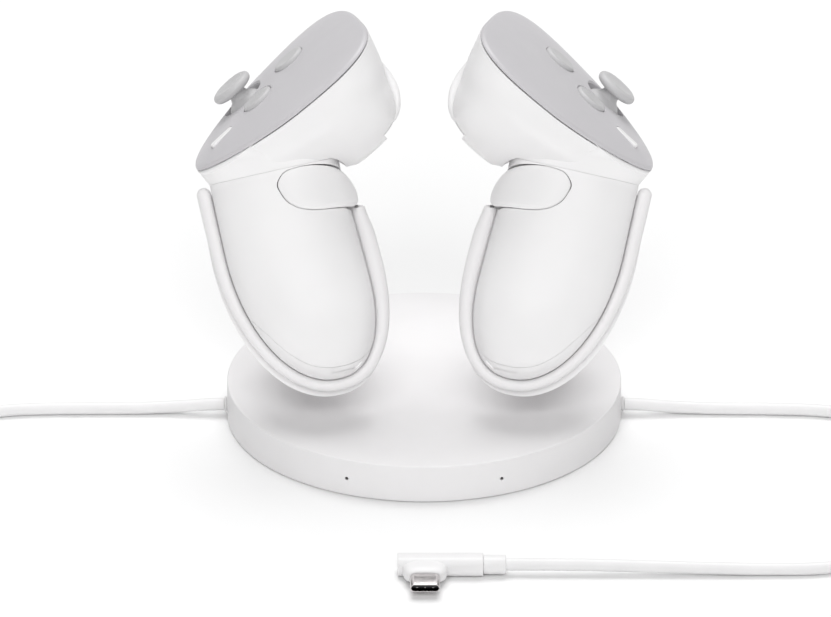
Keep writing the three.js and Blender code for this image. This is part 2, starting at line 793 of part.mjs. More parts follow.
for (const [side, word] of [[1, 'left'], [-1, 'right']]) {
  const frame = controllerFrame(side);
  for (const [name, solid, material] of sidePieces) {
    add(frame, `${word}_${name}`, solid, material);
  }
}

add(dock, 'base_top_shell', dockTopShell(), dockWhite);
add(dock, 'base_bottom_cover', dockBottomCover(), dockWhite);
add(dock, 'base_foot_pad', footPad(), padRubber);
add(dock, 'base_ballast_plate', ballastPlate(), steel);
add(dock, 'base_circuit_board', dockBoard(), boardGreen);
add(dock, 'base_screw_1', dockScrew(0), steel);
add(dock, 'base_screw_2', dockScrew(1), steel);
add(dock, 'left_status_light', statusLight(-lightSpacing), lightPipe);
add(dock, 'right_status_light', statusLight(lightSpacing), lightPipe);
add(dock, 'power_gland', gland(-1), cordWhite);
add(dock, 'headset_gland', gland(1), cordWhite);
add(dock, 'power_lead', cordTube(powerRoute, 10), cordWhite);
add(dock, 'power_coil', powerCoil(), cordWhite);
add(dock, 'power_lead_end', cordTube(powerEndRoute, 5), cordWhite);
add(dock, 'power_plug_body', powerPlugBody(), cordWhite);
add(dock, 'power_plug_mouth', powerPlugMouth(), steel);
add(dock, 'headset_lead', cordTube(headsetRoute, 36), cordWhite);
add(dock, 'headset_plug_collar', headsetPlugCollar(), cordWhite);
add(dock, 'headset_plug_body', headsetPlugBody(), cordWhite);
add(dock, 'headset_plug_mouth', headsetPlugMouth(), steel);

export default dock;
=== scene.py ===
"""A round charging dock with two hand controllers in scoop-shaped cradles.

Shapes are worked out in millimetres, in each controller's own handle frame: x from the back of the
hand to the fingers, y through the thickness away from the front, z up the handle. Placing a piece
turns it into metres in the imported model's frame.
"""
import json
import math

import bmesh
import bpy
import numpy as np
from mathutils import Matrix, Vector


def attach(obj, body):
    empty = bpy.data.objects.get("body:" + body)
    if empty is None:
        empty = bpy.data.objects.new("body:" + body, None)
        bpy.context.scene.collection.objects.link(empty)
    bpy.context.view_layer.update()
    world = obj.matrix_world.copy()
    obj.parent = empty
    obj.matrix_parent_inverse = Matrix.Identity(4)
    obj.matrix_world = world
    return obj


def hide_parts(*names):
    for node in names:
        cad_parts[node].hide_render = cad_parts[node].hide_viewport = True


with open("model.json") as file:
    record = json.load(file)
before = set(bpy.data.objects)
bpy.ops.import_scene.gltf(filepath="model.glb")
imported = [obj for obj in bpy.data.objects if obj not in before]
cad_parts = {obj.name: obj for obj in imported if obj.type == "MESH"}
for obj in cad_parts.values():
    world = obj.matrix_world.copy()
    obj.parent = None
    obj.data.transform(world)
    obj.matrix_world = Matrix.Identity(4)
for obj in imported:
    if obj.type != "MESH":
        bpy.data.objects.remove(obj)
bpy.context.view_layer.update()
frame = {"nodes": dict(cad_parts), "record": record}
scene = bpy.context.scene

MM = 0.001
SIDES = (("left", 1), ("right", -1))

# ------------------------ driving dimensions, millimetres

GAP = 0.3
SEAM = 0.06
WALL = 2.0
DOCK_RADIUS = 56.0
DOCK_HEIGHT = 11.2
PAD_RADIUS = 51.0

LEAN_BACK = 26.1
HANDLE_TILT = 12.5
HANDLE_FOOT = (-27.0, -26.6, 23.0)
HANDLE_LEFT = -20.7
HANDLE_RIGHT = 17.8
TIP_X = 3.0
TIP_Z = 0.6
HALF_THICKNESS = 14.4
HANDLE_TOP = 61.7
SPLIT_PLANE = -1.4

HEAD_PITCH = 30.0
HEAD_CENTRE = (3.6, 0.0, 82.0)
FACE_CANT = 18.0
FACE_CENTRE = 0.4
FACE_HALF_LENGTH = 31.2
FACE_HALF_WIDTH = 24.5
FACE_EDGE = 1.0
FACE_CROWN = 2.6
EGG = 0.26

STICK = (-7.9, 12.0)
STICK_PIVOT = -1.6
WELL_RADIUS = 6.8
BUTTON_RADIUS = 4.9
LOWER_BUTTON = (-4.8, 0.4)
UPPER_BUTTON = (9.2, 8.4)
MENU_BUTTON = (-19.4, -1.5)
CONTROL_TILT = 6.0
MENU_LENGTH = 8.0
MENU_WIDTH = 2.4

TRIGGER_HALF_WIDTH = 9.0
TRIGGER_PIN = (22.6, -8.2)

RIM_RADIUS = 1.6
RIM_OFFSET = 1.72
RIM_TOP_LEFT = 59.4
RIM_TOP_RIGHT = 48.6
CUP_OUTSIDE = 2.0
SHELL_INSIDE = 2.35
SHELL_OUTSIDE = 3.9
SHELL_LEAN = 1.6
CUTTER_TOP = 80.0

CORD_DIAMETER = 3.5
CORD_EXIT = 56.9
EXIT_HEIGHT = 3.2
LIGHT_SPACING = 21.8
LIGHT_HEIGHT = 5.4
LIGHT_RADIUS = 0.5

HANDLE_SIDES = 128
HANDLE_LEVELS = 72
HEAD_SIDES = 144


def turned_by(axis, degrees):
    return Matrix.Rotation(math.radians(degrees), 4, axis)


HANDLE_FRAME = Matrix.Translation(HANDLE_FOOT) @ turned_by("X", -LEAN_BACK) @ turned_by("Y", -HANDLE_TILT)
HEAD_FRAME = Matrix.Translation(HEAD_CENTRE) @ turned_by("Y", -HEAD_PITCH)
FACE_FRAME = HEAD_FRAME @ turned_by("X", FACE_CANT)

# ------------------------ camera

CAMERA_ELEVATION = math.radians(LEAN_BACK)
CAMERA_DISTANCE = 4.273
CAMERA_LENS = 652.8
CAMERA_AIM = Vector((-0.00247, 0.0, 0.0334))

camera_data = bpy.data.cameras.new("camera")
camera_data.sensor_width = 36.0
camera_data.lens = CAMERA_LENS
camera_data.clip_start = 0.1
camera_data.clip_end = 100.0
camera = bpy.data.objects.new("camera", camera_data)
scene.collection.objects.link(camera)
camera.location = CAMERA_AIM + CAMERA_DISTANCE * Vector((
    0.0, -math.cos(CAMERA_ELEVATION), math.sin(CAMERA_ELEVATION)))
camera.rotation_euler = (math.pi / 2 - CAMERA_ELEVATION, 0.0, 0.0)
scene.camera = camera

# ------------------------ materials


class Nodes:
    """A material's node tree with short ways to add and join nodes."""

    def __init__(self, name):
        self.material = bpy.data.materials.new(name)
        self.material.use_nodes = True
        self.tree = self.material.node_tree
        self.tree.nodes.clear()
        self.out = self.add("ShaderNodeOutputMaterial")
        self.shader = self.add("ShaderNodeBsdfPrincipled")
        self.join(self.shader, "BSDF", self.out, "Surface")
        self.place = self.add("ShaderNodeTexCoord")

    def add(self, kind, **values):
        node = self.tree.nodes.new(kind)
        for key, value in values.items():
            setattr(node, key, value)
        return node

    def join(self, source, output, target, entry):
        self.tree.links.new(source.outputs[output], target.inputs[entry])

    def noise(self, scale, detail=3.0, roughness=0.55, stretch=None):
        node = self.add("ShaderNodeTexNoise")
        node.inputs["Scale"].default_value = scale
        node.inputs["Detail"].default_value = detail
        node.inputs["Roughness"].default_value = roughness
        self.spread(node, stretch)
        return node

    def cells(self, scale, stretch=None):
        node = self.add("ShaderNodeTexVoronoi")
        node.inputs["Scale"].default_value = scale
        self.spread(node, stretch)
        return node

    def spread(self, node, stretch):
        if stretch is None:
            self.join(self.place, "Object", node, "Vector")
            return
        mapping = self.add("ShaderNodeMapping")
        mapping.inputs["Scale"].default_value = stretch
        self.join(self.place, "Object", mapping, "Vector")
        self.join(mapping, "Vector", node, "Vector")

    def ramp(self, source, output, stops):
        node = self.add("ShaderNodeValToRGB")
        elements = node.color_ramp.elements
        while len(elements) < len(stops):
            elements.new(0.5)
        for element, (position, colour) in zip(elements, stops):
            element.position = position
            element.color = (*colour, 1.0)
        self.join(source, output, node, "Fac")
        return node

    def span(self, source, output, low, high, start=0.0, end=1.0):
        node = self.add("ShaderNodeMapRange")
        for entry, value in (("From Min", start), ("From Max", end), ("To Min", low), ("To Max", high)):
            node.inputs[entry].default_value = value
        self.join(source, output, node, "Value")
        return node

    def bump(self, source, output, depth, below=None):
        node = self.add("ShaderNodeBump")
        node.inputs["Strength"].default_value = 0.5
        node.inputs["Distance"].default_value = depth
        self.join(source, output, node, "Height")
        if below is not None:
            self.join(below, "Normal", node, "Normal")
        return node


def shade(colour, factor):
    return tuple(min(1.0, c * factor) for c in colour)


def moulded(name, colour, roughness, grain=5200.0, depth=0.000012, sheen=0.0, coat=0.0):
    """Moulded plastic: spark-eroded grain, slow drift of colour and gloss, and a painted highlight that
    lightens convex edges.
    """
    nodes = Nodes(name)
    drift = nodes.noise(38.0, 4.0)
    tone = nodes.ramp(drift, "Fac", [(0.3, shade(colour, 0.985)), (0.7, shade(colour, 1.012))])
    handled = nodes.noise(160.0, 5.0, 0.6)
    gloss = nodes.span(handled, "Fac", roughness - 0.05, roughness + 0.06, 0.3, 0.7)
    edges = nodes.add("ShaderNodeNewGeometry")
    # painted highlight: convex edges, found by pointiness, are mixed towards a colour 3% lighter than the
    # base
    edge_highlight_mask = nodes.span(edges, "Pointiness", 0.0, 1.0, 0.53, 0.6)
    painted_edge_highlight = nodes.add("ShaderNodeMix", data_type="RGBA")
    nodes.join(edge_highlight_mask, "Result", painted_edge_highlight, "Factor")
    nodes.join(tone, "Color", painted_edge_highlight, "A")
    painted_edge_highlight.inputs["B"].default_value = (*shade(colour, 1.03), 1.0)
    nodes.join(painted_edge_highlight, "Result", nodes.shader, "Base Color")
    nodes.join(gloss, "Result", nodes.shader, "Roughness")
    coarse = nodes.cells(grain)
    fine = nodes.noise(grain * 0.45, 6.0, 0.7)
    first = nodes.bump(coarse, "Distance", depth)
    second = nodes.bump(fine, "Fac", depth * 1.6, first)
    nodes.join(second, "Normal", nodes.shader, "Normal")
    nodes.shader.inputs["Sheen Weight"].default_value = sheen
    nodes.shader.inputs["Coat Weight"].default_value = coat
    nodes.shader.inputs["Coat Roughness"].default_value = 0.3
    return nodes.material


def sheath(name, colour, roughness):
    """Extruded cord sheath: a fine bumpy skin, a slow tone drift and fine dust."""
    nodes = Nodes(name)
    drift = nodes.noise(90.0, 3.0)
    tone = nodes.ramp(drift, "Fac", [(0.3, shade(colour, 0.975)), (0.7, shade(colour, 1.01))])
    nodes.join(tone, "Color", nodes.shader, "Base Color")
    dust = nodes.noise(1400.0, 5.0, 0.7)
    gloss = nodes.span(dust, "Fac", roughness - 0.06, roughness + 0.08, 0.3, 0.7)
    nodes.join(gloss, "Result", nodes.shader, "Roughness")
    skin = nodes.noise(2600.0, 4.0, 0.6)
    nodes.join(nodes.bump(skin, "Fac", 0.00002), "Normal", nodes.shader, "Normal")
    return nodes.material


def metal(name, colour, roughness):
    """Drawn or brushed metal with fine lines one way and light tarnish."""
    nodes = Nodes(name)
    nodes.shader.inputs["Metallic"].default_value = 1.0
    tarnish = nodes.noise(220.0, 5.0, 0.6)
    tone = nodes.ramp(tarnish, "Fac", [(0.3, shade(colour, 0.9)), (0.7, shade(colour, 1.04))])
    nodes.join(tone, "Color", nodes.shader, "Base Color")
    lines = nodes.noise(900.0, 6.0, 0.7, stretch=(1.0, 14.0, 1.0))
    gloss = nodes.span(lines, "Fac", roughness - 0.08, roughness + 0.1, 0.3, 0.7)
    nodes.join(gloss, "Result", nodes.shader, "Roughness")
    nodes.join(nodes.bump(lines, "Fac", 0.000008), "Normal", nodes.shader, "Normal")
    return nodes.material


def board(name):
    """A lacquered circuit board: copper runs under the mask and tinned pads."""
    nodes = Nodes(name)
    runs = nodes.add("ShaderNodeTexBrick")
    runs.inputs["Scale"].default_value = 420.0
    runs.inputs["Mortar Size"].default_value = 0.05
    runs.inputs["Color1"].default_value = (0.016, 0.09, 0.035, 1.0)
    runs.inputs["Color2"].default_value = (0.02, 0.12, 0.05, 1.0)
    runs.inputs["Mortar"].default_value = (0.05, 0.2, 0.09, 1.0)
    nodes.spread(runs, None)
    pads = nodes.cells(700.0)
    tinned = nodes.span(pads, "Distance", 1.0, 0.0, 0.16, 0.2)
    mix = nodes.add("ShaderNodeMix", data_type="RGBA")
    nodes.join(tinned, "Result", mix, "Factor")
    nodes.join(runs, "Color", mix, "A")
    mix.inputs["B"].default_value = (0.62, 0.6, 0.55, 1.0)
    nodes.join(mix, "Result", nodes.shader, "Base Color")
    nodes.join(tinned, "Result", nodes.shader, "Metallic")
    nodes.shader.inputs["Roughness"].default_value = 0.34
    nodes.join(nodes.bump(runs, "Fac", 0.00004), "Normal", nodes.shader, "Normal")
    return nodes.material


MATERIALS = {
    "controller_white": moulded("controller_white", (0.9, 0.893, 0.896), 0.44, coat=0.05),
    "dock_white": moulded("dock_white", (0.865, 0.855, 0.86), 0.5, 4200.0, 0.000016),
    "face_grey": moulded("face_grey", (0.61, 0.598, 0.617), 0.42, 6000.0, 0.00001),
    "control_grey": moulded("control_grey", (0.56, 0.556, 0.562), 0.5, 3600.0, 0.00002, sheen=0.1),
    "cord_white": sheath("cord_white", (0.82, 0.815, 0.818), 0.42),
    "pad_rubber": moulded("pad_rubber", (0.045, 0.045, 0.05), 0.8, 2600.0, 0.00004),
    "steel": metal("steel", (0.72, 0.69, 0.69), 0.26),
    "contact_gold": metal("contact_gold", (0.83, 0.62, 0.28), 0.24),
    "circuit_board": board("circuit_board"),
    "black_plastic": moulded("black_plastic", (0.02, 0.02, 0.022), 0.5, 3000.0, 0.00003),
    "light_pipe": moulded("light_pipe", (0.04, 0.035, 0.035), 0.2, 4000.0, 0.00001, coat=0.4),
    "contact": metal("contact", (0.9, 0.88, 0.86), 0.3),
}


def paint(obj, slot, material=None):
    obj.data.materials.clear()
    obj.data.materials.append(MATERIALS[material or slot])
    return obj


# ------------------------ mesh building

def new_object(name, points, faces):
    mesh = bpy.data.meshes.new(name)
    mesh.from_pydata([tuple(p) for p in points], [], faces)
    build = bmesh.new()
    build.from_mesh(mesh)
    bmesh.ops.recalc_face_normals(build, faces=build.faces)
    build.to_mesh(mesh)
    build.free()
    obj = bpy.data.objects.new(name, mesh)
    scene.collection.objects.link(obj)
    return obj


def quads(levels, sides, closed=False):
    """The faces between rings of equal count; a closed skin also joins the last ring to the first."""
    level, side = np.meshgrid(np.arange(levels if closed else levels - 1), np.arange(sides), indexing="ij")
    after, beside = (level + 1) % levels, (side + 1) % sides
    return np.stack([level * sides + side, level * sides + beside,
                     after * sides + beside, after * sides + side], -1).reshape(-1, 4).tolist()


def loft(name, rings, closed=False):
    """A skin through rings of equal count: closed at both ends by a fan, or joined end to end."""
    rings = np.asarray(rings, float)
    levels, sides = rings.shape[:2]
    points = rings.reshape(-1, 3)
    faces = quads(levels, sides, closed)
    if not closed:
        low, high = len(points), len(points) + 1
        points = np.vstack([points, rings[0].mean(0), rings[-1].mean(0)])
        last = (levels - 1) * sides
        for k in range(sides):
            faces.append([low, (k + 1) % sides, k])
            faces.append([high, last + k, last + (k + 1) % sides])
    return new_object(name, points, faces)


def slab(name, outline, low, high, rounding=0.0, steps=6):
    """An outline in x and z, from y low to y high, with rounded edges where rounding says."""
    outline = np.asarray(outline, float)
    levels = [(low, 0.0), (high, 0.0)]
    if rounding:
        turns = [math.pi / 2 * k / steps for k in range(steps + 1)]
        start = [(low + rounding * (1 - math.sin(a)), rounding * (1 - math.cos(a))) for a in turns[::-1]]
        end = [(high - rounding * (1 - math.sin(a)), rounding * (1 - math.cos(a))) for a in turns]
        levels = start + end
    inward = inward_normals(outline)
    rings = []
    for y, inset in levels:
        flat = outline + inward * inset
        rings.append(np.stack([flat[:, 0], np.full(len(flat), y), flat[:, 1]], -1))
    count = len(outline)
    points = np.vstack(rings)
    ends = [list(range(count)), list(range((len(rings) - 1) * count, len(rings) * count))[::-1]]
    return new_object(name, points, ends + quads(len(rings), count))


def inward_normals(outline):
    along = np.roll(outline, -1, 0) - np.roll(outline, 1, 0)
    along /= np.linalg.norm(along, axis=1)[:, None]
    x, z = outline[:, 0], outline[:, 1]
    area = np.sum(x * np.roll(z, -1) - np.roll(x, -1) * z)
    normal = np.stack([-along[:, 1], along[:, 0]], -1)
    return normal if area > 0 else -normal


def lathe(name, profile, segments, centre=(0.0, 0.0)):
    """A turned piece about z from [radius, z] pairs that start and end on the axis, or join up."""
    closed = profile[0][0] > 1e-6
    inner = profile if closed else profile[1:-1]
    turn = np.arange(segments) * 2 * math.pi / segments
    rings = [np.stack([centre[0] + r * np.cos(turn), centre[1] + r * np.sin(turn),
                       np.full(segments, z)], -1) for r, z in inner]
    obj = loft(name, rings, closed)
    if not closed:
        count = len(obj.data.vertices)
        obj.data.vertices[count - 2].co.z = profile[0][1]
        obj.data.vertices[count - 1].co.z = profile[-1][1]
    return obj


def box(name, x, y, z):
    points = [(a, b, c) for a in x for b in y for c in z]
    faces = [[0, 1, 3, 2], [4, 6, 7, 5], [0, 4, 5, 1], [2, 3, 7, 6], [0, 2, 6, 4], [1, 5, 7, 3]]
    return new_object(name, points, faces)


def combine(target, tool, operation):
    modifier = target.modifiers.new("combine", "BOOLEAN")
    modifier.solver = "MANIFOLD"
    modifier.operation = operation
    modifier.object = tool
    graph = bpy.context.evaluated_depsgraph_get()
    made = bpy.data.meshes.new_from_object(target.evaluated_get(graph))
    target.modifiers.remove(modifier)
    spent = target.data
    target.data = made
    bpy.data.meshes.remove(spent)
    bpy.data.objects.remove(tool)
    return target


def cut(target, *tools):
    for tool in tools:
        combine(target, tool, "DIFFERENCE")
    return target


def join(target, *tools):
    for tool in tools:
        combine(target, tool, "UNION")
    return target


def keep(target, tool):
    return combine(target, tool, "INTERSECT")


def moved(obj, matrix):
    obj.data.transform(matrix)
    return obj


def catmull(points, steps, closed=False):
    """A centripetal curve through points, with that many steps in all."""
    points = [np.asarray(p, float) for p in points]
    count = len(points)
    spans = count if closed else count - 1

    def knot(k):
        if closed:
            return points[k % count]
        if k < 0:
            return 2 * points[0] - points[1]
        if k >= count:
            return 2 * points[-1] - points[-2]
        return points[k]

    found = []
    for k in range(spans):
        p0, p1, p2, p3 = (knot(k + j) for j in (-1, 0, 1, 2))
        t1 = np.linalg.norm(p1 - p0) ** 0.5
        t2 = t1 + np.linalg.norm(p2 - p1) ** 0.5
        t3 = t2 + np.linalg.norm(p3 - p2) ** 0.5
        part = max(2, round(steps / spans))
        for t in t1 + (t2 - t1) * np.arange(part) / part:
            a1 = (t1 - t) / t1 * p0 + t / t1 * p1
            a2 = (t2 - t) / (t2 - t1) * p1 + (t - t1) / (t2 - t1) * p2
            a3 = (t3 - t) / (t3 - t2) * p2 + (t - t2) / (t3 - t2) * p3
            b1 = (t2 - t) / t2 * a1 + t / t2 * a2
            b2 = (t3 - t) / (t3 - t1) * a2 + (t - t1) / (t3 - t1) * a3
            found.append((t2 - t) / (t2 - t1) * b1 + (t - t1) / (t2 - t1) * b2)
    if not closed:
        found.append(points[-1])
    return np.array(found)


def power(value, exponent):
    return np.sign(value) * np.abs(value) ** exponent


def opened(share, exponent):
    """How far a rounded end has opened at a share of its length, from 0 at the tip to 1."""
    rest = 1 - np.clip(share, 0, 1)
    return (1 - rest ** exponent) ** (1 / exponent)


def ease(share):
    share = np.clip(share, 0, 1)
    return share * share * (3 - 2 * share)


def finish_piece(obj, name, body, slot, node, side=1, frame_matrix=None, angle=32.0):
    """Names, places, shades, paints and rides one piece; side -1 mirrors it for the right hand."""
    matrix = Matrix.Scale(MM, 4)
    if side < 0:
        matrix = matrix @ Matrix.Diagonal((-1, 1, 1, 1))
    if frame_matrix is not None:
        matrix = matrix @ frame_matrix
    obj.data.transform(matrix)
    if side < 0:
        obj.data.flip_normals()
    obj.name = name
    obj.data.name = name
    obj.data.shade_smooth()
    obj.data.set_sharp_from_angle(angle=math.radians(angle))
    paint(obj, slot)
    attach(obj, body)
    if node:
        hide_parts(node)
    return obj


def both_sides(obj, piece, body, slot, node=None, angle=32.0):
    """Finishes a piece made in the handle frame for the left hand and its mirror for the right."""
    twin = obj.copy()
    twin.data = obj.data.copy()
    scene.collection.objects.link(twin)
    for (word, side), each in zip(SIDES, (obj, twin)):
        rides = "dock" if body == "dock" else f"{word}_{body}"
        stands_for = f"{word}_{node or piece}"
        finish_piece(each, f"{word}_{piece}_form", rides, slot, stands_for, side, HANDLE_FRAME, angle)


# ------------------------ cords

POWER_ROUTE = [
    (-CORD_EXIT, 0, EXIT_HEIGHT), (-62, 0, 3), (-72, 0.2, 2.2), (-84, 0.1, 1.78), (-98, 0, 1.76),
    (-110, -0.3, 1.76), (-120, -1.5, 1.76), (-128, -3.9, 1.8), (-134.2, -6.5, 1.95),
]
POWER_END_ROUTE = [
    (-127, 3.2, 5.72), (-128.2, -4.5, 5.7), (-129.2, -12, 5.1), (-129.8, -18.5, 3.9), (-130, -24.5, 3.15),
]
HEADSET_ROUTE = [
    (CORD_EXIT, 0, EXIT_HEIGHT), (62, 0, 3), (72, 0.1, 2.2), (84, 0, 1.78), (100, -0.3, 1.76),
    (114, -1.6, 1.76), (127, -5.8, 1.76), (138, -14.5, 1.76), (145, -27, 1.76), (147.6, -42, 1.76),
    (147.4, -57, 1.76),
    (144.2, -72.5, 1.76), (136.5, -86.4, 1.76), (125.5, -95.4, 1.76), (112, -99.6, 1.77), (96, -100.6, 1.9),
    (80, -100.6, 2.16), (66, -100.4, 2.48), (52, -100.25, 2.84), (38, -100.15, 3.06), (22.8, -100.1, 3.1),
]

COIL_CENTRE = (-155.5, 17.0)
COIL_OUTER = 30.3
COIL_PITCH = 3.75
COIL_LOW = 2.1
COIL_HIGH = 5.72
COIL_START = -60.0
COIL_TURNS = 11 - 48 / 360
POINTS_PER_TURN = 16


def coil_points():
    """Two layers wound flat: inward on the table, a climb of half a turn, and outward on top."""
    layer = (COIL_TURNS - 0.5) / 2
    steps = round(COIL_TURNS * POINTS_PER_TURN)
    found = []
    for step in range(steps + 1):
        turn = COIL_TURNS * step / steps
        angle = math.radians(COIL_START - 360 * turn)
        radius, height = COIL_OUTER - COIL_PITCH * turn, COIL_LOW
        if turn > layer + 0.5:
            radius, height = COIL_OUTER - COIL_PITCH * (2 * layer + 0.5 - turn), COIL_HIGH
        elif turn > layer:
            climb = (turn - layer) / 0.5
            radius = COIL_OUTER - COIL_PITCH * layer - 0.45 * math.sin(math.pi * climb)
            height = COIL_LOW + (COIL_HIGH - COIL_LOW) * float(ease(climb))
        found.append((COIL_CENTRE[0] + radius * math.cos(angle),
                      COIL_CENTRE[1] + radius * math.sin(angle), height))
    return found


def cord(name, points, nodes):
    curve = bpy.data.curves.new(name, "CURVE")
    curve.dimensions = "3D"
    curve.resolution_u = 6
    curve.bevel_depth = CORD_DIAMETER / 2 * MM
    curve.bevel_resolution = 6
    curve.use_fill_caps = True
    spline = curve.splines.new("BEZIER")
    spline.bezier_points.add(len(points) - 1)
    for knot, place in zip(spline.bezier_points, points):
        knot.co = Vector(place) * MM
        knot.handle_left_type = "AUTO"
        knot.handle_right_type = "AUTO"
    obj = bpy.data.objects.new(name, curve)
    scene.collection.objects.link(obj)
    paint(obj, "cord_white")
    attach(obj, "dock")
    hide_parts(*nodes)
    return obj


power_cord = cord("power_cord", POWER_ROUTE + coil_points() + POWER_END_ROUTE,
                  ["power_lead", "power_coil", "power_lead_end"])
headset_cord = cord("headset_cord", HEADSET_ROUTE, ["headset_lead"])


def rounded_box_outline(x, z, radius, steps=8):
    """An upright outline with round corners, from ranges in x and z."""
    found = []
    for corner, (cx, cz) in enumerate(((x[1] - radius, z[1] - radius), (x[0] + radius, z[1] - radius),
                                       (x[0] + radius, z[0] + radius), (x[1] - radius, z[0] + radius))):
        for k in range(steps + 1):
            angle = math.pi / 2 * (corner + k / steps)
            found.append((cx + radius * math.cos(angle), cz + radius * math.sin(angle)))
    return np.array(found)


def coil_tie():
    """A flat strap round the whole winding, closed on itself, with its loose end on top."""
    inner, outer = COIL_OUTER - 21.9, COIL_OUTER + 1.95
    around_coil = rounded_box_outline((inner - 0.6, outer + 0.6), (0.02, 8.1), 2.0)
    strap = slab("tie", around_coil, -3.2, 3.2, 0.2, 3)
    hollow = slab("tie_hollow", rounded_box_outline((inner, outer), (0.32, 7.5), 1.6), -6.0, 6.0)
    loose_end = rounded_box_outline((inner + 4.0, inner + 17.0), (8.15, 8.7), 0.25)
    cut(strap, hollow)
    join(strap, slab("tie_tongue", loose_end, -3.0, 3.0, 0.2, 3))
    place = Matrix.Translation((*COIL_CENTRE, 0.0)) @ turned_by("Z", 108.0)
    return finish_piece(strap, "coil_tie", "dock", "black_plastic", None, frame_matrix=place)


tie = coil_tie()

# ------------------------ plugs

PLUG_HALF = (4.17, 1.24)
PLUG_LENGTH = 6.6
HEADSET_PLUG = {"left": -7.5, "right": 16.4, "y": -100.1, "z": 3.1, "depth": 6.8, "height": 5.6,
                "mouth": 0.2, "nose": 4.5}
HEADSET_FRONT = HEADSET_PLUG["y"] - HEADSET_PLUG["depth"] / 2 - HEADSET_PLUG["nose"]
POWER_PLUG = {"x": -130.0, "y": -31.0, "z": 3.1, "length": 17.0, "width": 11.6, "height": 6.0}


def slot_outline(half_width, half_height, steps=12):
    across, up = (-half_width, half_width), (-half_height, half_height)
    return rounded_box_outline(across, up, half_height - 1e-4, steps)


def super_ring(centre, half_width, half_height, exponent, count=64):
    """A rounded-rectangle ring across y at centre (x, y, z)."""
    turn = np.arange(count) * 2 * math.pi / count
    return np.stack([centre[0] + half_width * power(np.cos(turn), exponent),
                     np.full(count, centre[1]),
                     centre[2] + half_height * power(np.sin(turn), exponent)], -1)


def plug_mouth(name, node, x, y, z):
    """The metal mouth, folded from one strip, with a dark tongue and its contacts inside."""
    place = Matrix.Translation((x, y, z))

    def finished(obj, piece, slot, stands_for=None):
        return finish_piece(obj, piece, "dock", slot, stands_for, frame_matrix=place)

    skin = slab(name, slot_outline(*PLUG_HALF), -PLUG_LENGTH, 0.0, 0.12, 3)
    inside = slot_outline(PLUG_HALF[0] - 0.3, PLUG_HALF[1] - 0.3)
    cut(skin, slab("hollow", inside, -PLUG_LENGTH - 1, -0.8))
    metal_piece = finished(skin, name, "steel", node)
    tongue_outline = slot_outline(PLUG_HALF[0] - 0.34, PLUG_HALF[1] - 0.34)
    tongue = slab("tongue", tongue_outline, -PLUG_LENGTH + 0.45, -0.9, 0.1, 2)
    tongue_piece = finished(tongue, name + "_tongue", "black_plastic")
    tabs = []
    for spot, width in ((-2.25, 0.34), (0.0, 0.2), (2.25, 0.34)):
        outline = rounded_box_outline((spot - width, spot + width), (-0.22, 0.12), 0.08, 3)
        tabs.append(slab("tab", outline, -PLUG_LENGTH + 0.28, -5.0, 0.06, 2))
    contact_piece = finished(join(*tabs), name + "_contacts", "steel")
    paint(contact_piece, "steel", "contact")
    return [metal_piece, tongue_piece, contact_piece]


def power_plug():
    """The charger end: a rounded body and a tapered strain relief with four grooves."""
    x, y, z = POWER_PLUG["x"], POWER_PLUG["y"], POWER_PLUG["z"]
    length = POWER_PLUG["length"]
    half_width, half_height = POWER_PLUG["width"] / 2, POWER_PLUG["height"] / 2
    levels = [(0.0, 0.82), (0.35, 0.93), (1.0, 0.985), (1.8, 1.0), (length - 1.2, 1.0),
              (length - 0.4, 0.985), (length, 0.93)]
    body = loft("power_plug", [super_ring((x, y - depth, z), half_width * grown, half_height * grown, 0.62)
                               for depth, grown in levels])
    relief_levels = [(7.0, 1.95), (6.6, 2.1), (3.0, 2.45), (1.0, 2.7), (0.0, 2.9), (-1.0, 2.9)]
    join(body, loft("power_relief", [super_ring((x, y + rise, z), radius * 1.15, radius, 1.0)
                                     for rise, radius in relief_levels]))
    for k in range(4):
        groove = lathe("groove", [[2.0, -0.25], [3.6, -0.25], [3.6, 0.25], [2.0, 0.25]], 48)
        cut(body, moved(groove, Matrix.Translation((x, y + 1.6 + 1.2 * k, z)) @ turned_by("X", 90.0)))
    return finish_piece(body, "power_plug", "dock", "cord_white", "power_plug_body")


def lying_bar(name, length, depth, height, corner, place):
    """A bar along x from place, with a rounded section and crisp ends."""
    outline = rounded_box_outline((-depth / 2, depth / 2), (-height / 2, height / 2), corner, 12)
    bar = slab(name, outline, 0.0, length, 0.3, 4)
    return moved(bar, Matrix.Translation(place) @ turned_by("Z", -90.0))


def headset_plug_pieces():
    """The right-angled plug: a bar in line with the lead, a boss towards the front, and a collar."""
    plug = HEADSET_PLUG
    z = plug["z"]
    place = (plug["left"], plug["y"], z)
    body = lying_bar("body", plug["right"] - plug["left"], plug["depth"], plug["height"], 2.3, place)
    boss_levels = [(6.5, 6.2, 2.55), (2.8, 6.15, 2.5), (1.7, 5.98, 2.42), (0.9, 5.6, 2.25), (0.3, 5.1, 2.0),
                   (0.0, 4.75, 1.75)]
    boss = loft("boss", [super_ring((plug["mouth"], HEADSET_FRONT + rise, z - 0.12), wide, tall, 0.7)
                         for rise, wide, tall in catmull(boss_levels, 30)])
    join(body, boss)
    body = finish_piece(body, "headset_plug", "dock", "cord_white", "headset_plug_body")
    collar = lying_bar("collar", 6.24, 5.4, 5.0, 2.2, (plug["right"] + SEAM, plug["y"], z))
    collar = finish_piece(collar, "headset_collar", "dock", "cord_white", "headset_plug_collar")
    return [body, collar]


power_front = POWER_PLUG["y"] - POWER_PLUG["length"]
power_pieces = [power_plug()] + plug_mouth(
    "power_mouth", "power_plug_mouth", POWER_PLUG["x"], power_front - GAP, POWER_PLUG["z"])
headset_pieces = headset_plug_pieces() + plug_mouth(
    "headset_mouth", "headset_plug_mouth", HEADSET_PLUG["mouth"], HEADSET_FRONT - SEAM, HEADSET_PLUG["z"])


